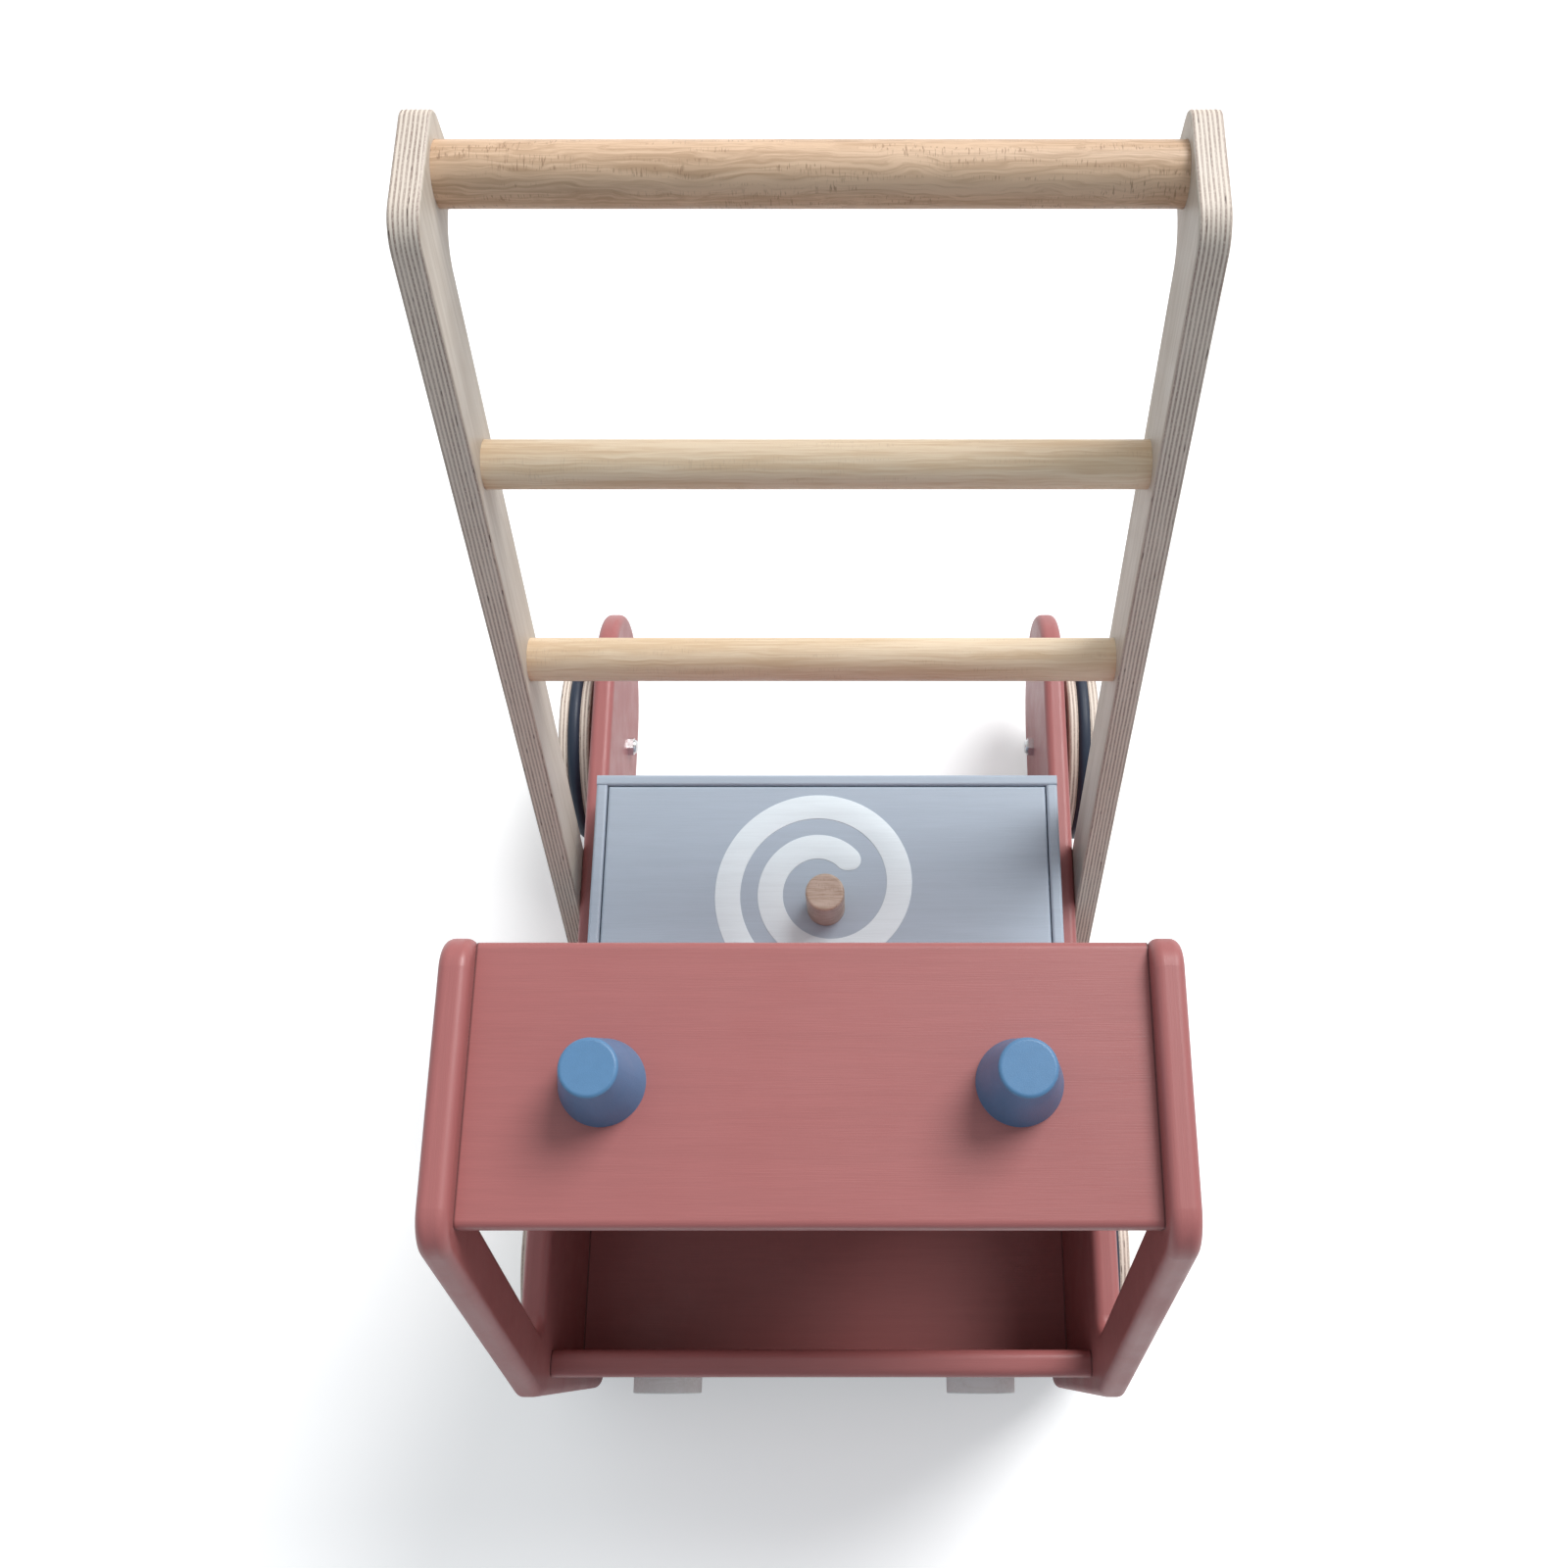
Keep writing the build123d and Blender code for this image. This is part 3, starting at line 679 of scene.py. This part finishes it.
def cross_screw_rings(place, direction, length, head_radius, fasteners):
    """Countersunk wood screw. Its slots end at the smaller of two radii: their reach, or half their
    width divided by the sine of the angle to the nearer slot."""
    head_height, shank_radius = 0.0022, 0.00175
    tip_length, tip_radius = 0.003, shank_radius / 4
    bottom_shares = (0.45, 0.7)
    least_sine = 1e-3
    turn = np.linspace(0.0, 2 * pi, POINTS_AROUND_A_DRIVE, endpoint=False)
    sine = np.minimum(np.abs(np.sin(turn)), np.abs(np.cos(turn)))
    slots = np.minimum(fasteners.cross_reach, fasteners.cross_half_width / np.maximum(sine, least_sine))
    edge = fasteners.broken_edge
    rows = [(share * slots, fasteners.cross_depth) for share in bottom_shares]
    rows += [
        (slots, edge / 2),
        (slots + edge / 2, 0.0),
        (head_radius - edge, 0.0),
        (head_radius, edge),
        (shank_radius, head_height),
        (shank_radius, length - tip_length),
        (tip_radius, length),
    ]
    return stacked_rings(place, direction, rows)


def socket_bolt_rings(place, direction, length, head_radius, fasteners):
    """Button-head bolt. Its socket's radius is that to a flat, divided by the cosine of the angle
    from the middle of the nearest flat. Its head is rounded by a quarter circle."""
    head_height, shank_radius, rounding = 0.0035, 0.003, 0.0028
    socket_edge, tip_edge = 0.0002, 0.0005
    drilled_radius_share, drilled_depth_share = 0.5, 1.15
    steps_of_rounding = 7
    one_flat = pi / 3
    turn = np.linspace(0.0, 2 * pi, POINTS_AROUND_A_DRIVE, endpoint=False)
    from_flat = np.mod(turn, one_flat) - one_flat / 2
    socket = fasteners.socket_half_flats / np.cos(from_flat)
    rows = [
        (drilled_radius_share * socket, drilled_depth_share * fasteners.socket_depth),
        (socket, fasteners.socket_depth),
        (socket, socket_edge),
        (socket + socket_edge, 0.0),
    ]
    for bend in np.linspace(0.0, pi / 2, steps_of_rounding):
        rows.append((head_radius - rounding * (1 - np.sin(bend)), rounding * (1 - np.cos(bend))))
    rows += [
        (head_radius, head_height),
        (shank_radius, head_height),
        (shank_radius, length - tip_edge),
        (shank_radius - tip_edge, length),
    ]
    return stacked_rings(place, direction, rows)


# ---------------------------------------------------------------- studio
def lay_floor(studio):
    """Square floor at height nought. It gives the walker less light than its own colour would, and
    the camera a little light of its own, so that the shadow on it stays soft."""
    half = studio.floor_size / 2
    mesh = bpy.data.meshes.new("floor")
    square = [(-half, -half, 0), (half, -half, 0), (half, half, 0), (-half, half, 0)]
    mesh.from_pydata(square, [], [(0, 1, 2, 3)])
    floor = bpy.data.objects.new("floor", mesh)
    bpy.context.scene.collection.objects.link(floor)
    material, tree, shader, _ = bare_material("pale floor")
    rays = put_node(tree, "ShaderNodeLightPath").outputs
    bounce = opaque([studio.floor_bounce] * 3)
    tone = blend_node(tree, rays["Is Diffuse Ray"], opaque(studio.floor), bounce)
    glow = math_node(tree, "MULTIPLY", rays["Is Camera Ray"], studio.floor_glow)
    tree.links.new(tone, shader["Base Color"])
    tree.links.new(glow, shader["Emission Strength"])
    shader["Emission Color"].default_value = WHITE_LIGHT
    shader["Roughness"].default_value = studio.floor_roughness
    mesh.materials.append(material)


def light_sky(studio):
    """Sky that goes smoothly from a tinted light ahead to a stronger white one, as the cosine of the
    angle to its brightest direction grows. The camera sees it in the floor's plain colour."""
    world = bpy.data.worlds.new("soft sky")
    world.use_nodes = True
    tree = world.node_tree
    tree.nodes.clear()
    outlook = put_node(tree, "ShaderNodeTexCoord").outputs["Generated"]
    towards = {0: outlook, 1: studio.brightest}
    cosine = put_node(tree, "ShaderNodeVectorMath", towards, operation="DOT_PRODUCT").outputs["Value"]
    backward = ramp_node(tree, cosine, start=-0.5, stop=1.0)
    tint = blend_node(tree, backward, opaque(studio.ahead), WHITE_LIGHT)
    strength = ramp_node(tree, backward, low=studio.sky_ahead, high=studio.sky_behind)
    seen = put_node(tree, "ShaderNodeLightPath").outputs["Is Camera Ray"]
    plain = blend_node(tree, seen, tint, opaque(studio.floor))
    level = ramp_node(tree, seen, low=strength, high=1.0)
    sky = put_node(tree, "ShaderNodeBackground", {"Color": plain, "Strength": level})
    put_node(tree, "ShaderNodeOutputWorld", {"Surface": sky.outputs[0]})
    bpy.context.scene.world = world


def hang_key_light(studio):
    """Broad main light, like a veiled sun, that shines from its own direction."""
    lamp = bpy.data.lights.new("key light", "SUN")
    lamp.energy = studio.key_strength
    lamp.angle = studio.key_width
    key = bpy.data.objects.new("key light", lamp)
    key.rotation_mode = "QUATERNION"
    key.rotation_quaternion = studio.key_from.to_track_quat("Z", "Y")
    bpy.context.scene.collection.objects.link(key)


def set_camera(studio):
    """Camera in front of the walker and high above it, tilted off straight down towards its back."""
    data = bpy.data.cameras.new("camera")
    data.lens = studio.lens
    data.sensor_width = studio.sensor
    data.shift_x = studio.camera_shift
    camera = bpy.data.objects.new("camera", data)
    camera.location = studio.camera_place
    camera.rotation_euler = (studio.camera_tilt, 0.0, 0.0)
    bpy.context.scene.collection.objects.link(camera)
    bpy.context.scene.camera = camera


# ---------------------------------------------------------------- operators
class WALKER_OT_cab(bpy.types.Operator):
    """Paint the side panels, the roof and the cab's boards"""

    bl_idname = "walker.cab"
    bl_label = "Paint the cab"

    def execute(self, context):
        red = context.scene.walker_paints.red
        # The boards get a line of painted shade at their ends, where they meet the side panels.
        board_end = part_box("roof_panel")[1][0]
        boards = paint_material("red paint, grain across", red, gap_shade_at=board_end)
        dress(boards, "roof_panel", "front_board", "cab_floor", "cab_back_board")
        panels = paint_material("red paint, grain lengthwise", red, GRAIN_LENGTHWISE)
        dress(panels, *at_each(SIDES, "side_panel"))
        return {"FINISHED"}


class WALKER_OT_beacons(bpy.types.Operator):
    """Paint the two turned beacons"""

    bl_idname = "walker.beacons"
    bl_label = "Paint the beacons"

    def execute(self, context):
        blue = paint_material("blue paint", context.scene.walker_paints.blue, GRAIN_UPRIGHT)
        dress(blue, *at_each(SIDES, "beacon"))
        return {"FINISHED"}


class WALKER_OT_storage_box(bpy.types.Operator):
    """Paint the storage box, its ledges and its lid"""

    bl_idname = "walker.storage_box"
    bl_label = "Paint the storage box"

    def execute(self, context):
        grey = paint_material("grey paint", context.scene.walker_paints.grey)
        boards = [f"box_{side}_board" for side in ("front", "back", *SIDES)]
        dress(grey, *boards, "box_floor", "lid_ledges", "lid_panel")
        return {"FINISHED"}


class WALKER_OT_hose_figure(bpy.types.Operator):
    """Lay the coiled hose on the lid as a thin film of white paint"""

    bl_idname = "walker.hose_figure"
    bl_label = "Paint the hose figure"

    def execute(self, context):
        figure = context.scene.walker_figure
        low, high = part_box("lid_panel")
        centre = np.array([(low[0] + high[0]) / 2, (low[1] + high[1]) / 2, high[2]])
        centre[:2] += (figure.shift_across, figure.shift_back)
        piece = ring_mesh("hose_figure", [spiral_rings(centre, figure)])
        white = paint_material("white paint", context.scene.walker_paints.white)
        finish_piece(piece, white, "lid", "grey_paint")
        return {"FINISHED"}


class WALKER_OT_ladder(bpy.types.Operator):
    """Finish the ladder's plywood rails, its rungs and the handle bar"""

    bl_idname = "walker.ladder"
    bl_label = "Finish the ladder"

    def execute(self, context):
        timbers = context.scene.walker_timbers
        low, high = (np.mean(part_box(node), axis=0) for node in ("lower_rung", "upper_rung"))
        lean = atan2(high[1] - low[1], high[2] - low[2])
        up_the_ladder = (lean, pi / 2, 0.0)
        rails = plywood_material(
            "birch plywood rails", "left_ladder_rail", timbers.rail_layers, up_the_ladder
        )
        dress(rails, *at_each(SIDES, "ladder_rail"))
        bar = timber_material("beech", timbers.beech, timbers.beech_streak, flecks=0.68, waviness=0.008)
        dress(bar, "handle_bar")
        rungs = timber_material("pale beech", timbers.pale_beech, timbers.pale_streak, flecks=0.15)
        dress(rungs, "upper_rung", "lower_rung")
        return {"FINISHED"}


class WALKER_OT_small_timber(bpy.types.Operator):
    """Finish the lid's knob and the two headlights"""

    bl_idname = "walker.small_timber"
    bl_label = "Finish knob and headlights"

    def execute(self, context):
        timbers = context.scene.walker_timbers
        knob = timber_material(
            "knob beech", timbers.knob, timbers.knob_streak, flecks=0.3, length=0.008, width=0.0008
        )
        dress(knob, "lid_knob")
        lamp = timber_material("pale lamp wood", timbers.lamp, timbers.lamp_streak, flecks=0.1)
        dress(lamp, *at_each(SIDES, "headlight"))
        return {"FINISHED"}


class WALKER_OT_wheels(bpy.types.Operator):
    """Finish the plywood wheels, their rubber rings, their nylon bushes and the spacers"""

    bl_idname = "walker.wheels"
    bl_label = "Finish the wheels"

    def execute(self, context):
        layers = context.scene.walker_timbers.wheel_layers
        fasteners = context.scene.walker_fasteners
        discs = plywood_material("birch plywood wheels", "front_left_wheel", layers, GRAIN_UPRIGHT)
        dress(discs, *at_each(CORNERS, "wheel"))
        rubber = smooth_material("tyre rubber", fasteners.rubber, smoothest=0.42, roughest=0.6)
        dress(rubber, *at_each(CORNERS, "tyre"))
        nylon = smooth_material("nylon", fasteners.nylon, smoothest=0.35, roughest=0.5)
        dress(nylon, *at_each(CORNERS, "bush"), "wheel_spacers")
        return {"FINISHED"}


class WALKER_OT_screws(bpy.types.Operator):
    """Replace the plain wood screws by screws with cross slots, and finish the washers"""

    bl_idname = "walker.screws"
    bl_label = "Make the screws"

    def execute(self, context):
        fasteners = context.scene.walker_fasteners
        zinc = smooth_material(
            "zinc-plated steel", fasteners.steel, smoothest=0.28, roughest=0.45, metal=1.0
        )
        axes_and_bodies = {
            "panel_screws": (0, "chassis"),
            "box_screws": (0, "chassis"),
            "rail_screws": (0, "chassis"),
            "rung_screws": (0, "chassis"),
            "beacon_screws": (2, "chassis"),
            "headlight_screws": (1, "chassis"),
            "lid_knob_screw": (2, "lid"),
        }
        for node, (axis, body) in axes_and_bodies.items():
            stacks = [cross_screw_rings(*place, fasteners) for place in fastener_places(node, axis)]
            finish_piece(ring_mesh(f"slotted_{node}", stacks), zinc, body, "zinc_steel", node)
        dress(zinc, "axle_washers")
        return {"FINISHED"}


class WALKER_OT_axle_bolts(bpy.types.Operator):
    """Replace the plain axle bolts by bolts with hexagon sockets, and polish the cap nuts"""

    bl_idname = "walker.axle_bolts"
    bl_label = "Make the axle bolts"

    def execute(self, context):
        fasteners = context.scene.walker_fasteners
        bright = smooth_material(
            "bright steel", fasteners.bright_steel, smoothest=0.12, roughest=0.25, metal=1.0
        )
        stacks = [socket_bolt_rings(*place, fasteners) for place in fastener_places("axle_bolts", axis=0)]
        finish_piece(ring_mesh("socket_axle_bolts", stacks), bright, "chassis", "chrome", "axle_bolts")
        dress(bright, "cap_nuts")
        return {"FINISHED"}


class WALKER_OT_studio(bpy.types.Operator):
    """Set the pale floor, the soft sky, the main light and the camera"""

    bl_idname = "walker.studio"
    bl_label = "Set the studio"

    def execute(self, context):
        studio = context.scene.walker_studio
        lay_floor(studio)
        light_sky(studio)
        hang_key_light(studio)
        set_camera(studio)
        context.scene.view_settings.view_transform = "Standard"
        return {"FINISHED"}


OPERATORS = (
    WALKER_OT_cab,
    WALKER_OT_beacons,
    WALKER_OT_storage_box,
    WALKER_OT_hose_figure,
    WALKER_OT_ladder,
    WALKER_OT_small_timber,
    WALKER_OT_wheels,
    WALKER_OT_screws,
    WALKER_OT_axle_bolts,
    WALKER_OT_studio,
)


class WALKER_PT_sidebar(bpy.types.Panel):
    """Lists the settings and the steps that dress the walker"""

    bl_idname = "WALKER_PT_sidebar"
    bl_label = "Push walker"
    bl_space_type = "VIEW_3D"
    bl_region_type = "UI"
    bl_category = "Walker"

    def draw(self, context):
        for name, kind in SETTINGS.items():
            box = self.layout.box()
            box.label(text=kind.__doc__)
            for setting in kind.__annotations__:
                box.prop(getattr(context.scene, name), setting)
        for operator in OPERATORS:
            self.layout.operator(operator.bl_idname)


def register():
    """Add the settings, the operators and the panel."""
    for name, group in SETTINGS.items():
        bpy.utils.register_class(group)
        setattr(bpy.types.Scene, name, PointerProperty(type=group))
    for kind in (*OPERATORS, WALKER_PT_sidebar):
        bpy.utils.register_class(kind)


def unregister():
    """Take the panel, the operators and the settings away again."""
    for kind in (WALKER_PT_sidebar, *reversed(OPERATORS)):
        bpy.utils.unregister_class(kind)
    for name, group in reversed(SETTINGS.items()):
        delattr(bpy.types.Scene, name)
        bpy.utils.unregister_class(group)


def main():
    """Run every step in order."""
    register()
    for operator in OPERATORS:
        category, name = operator.bl_idname.split(".")
        getattr(getattr(bpy.ops, category), name)()


if __name__ == "__main__":
    main()
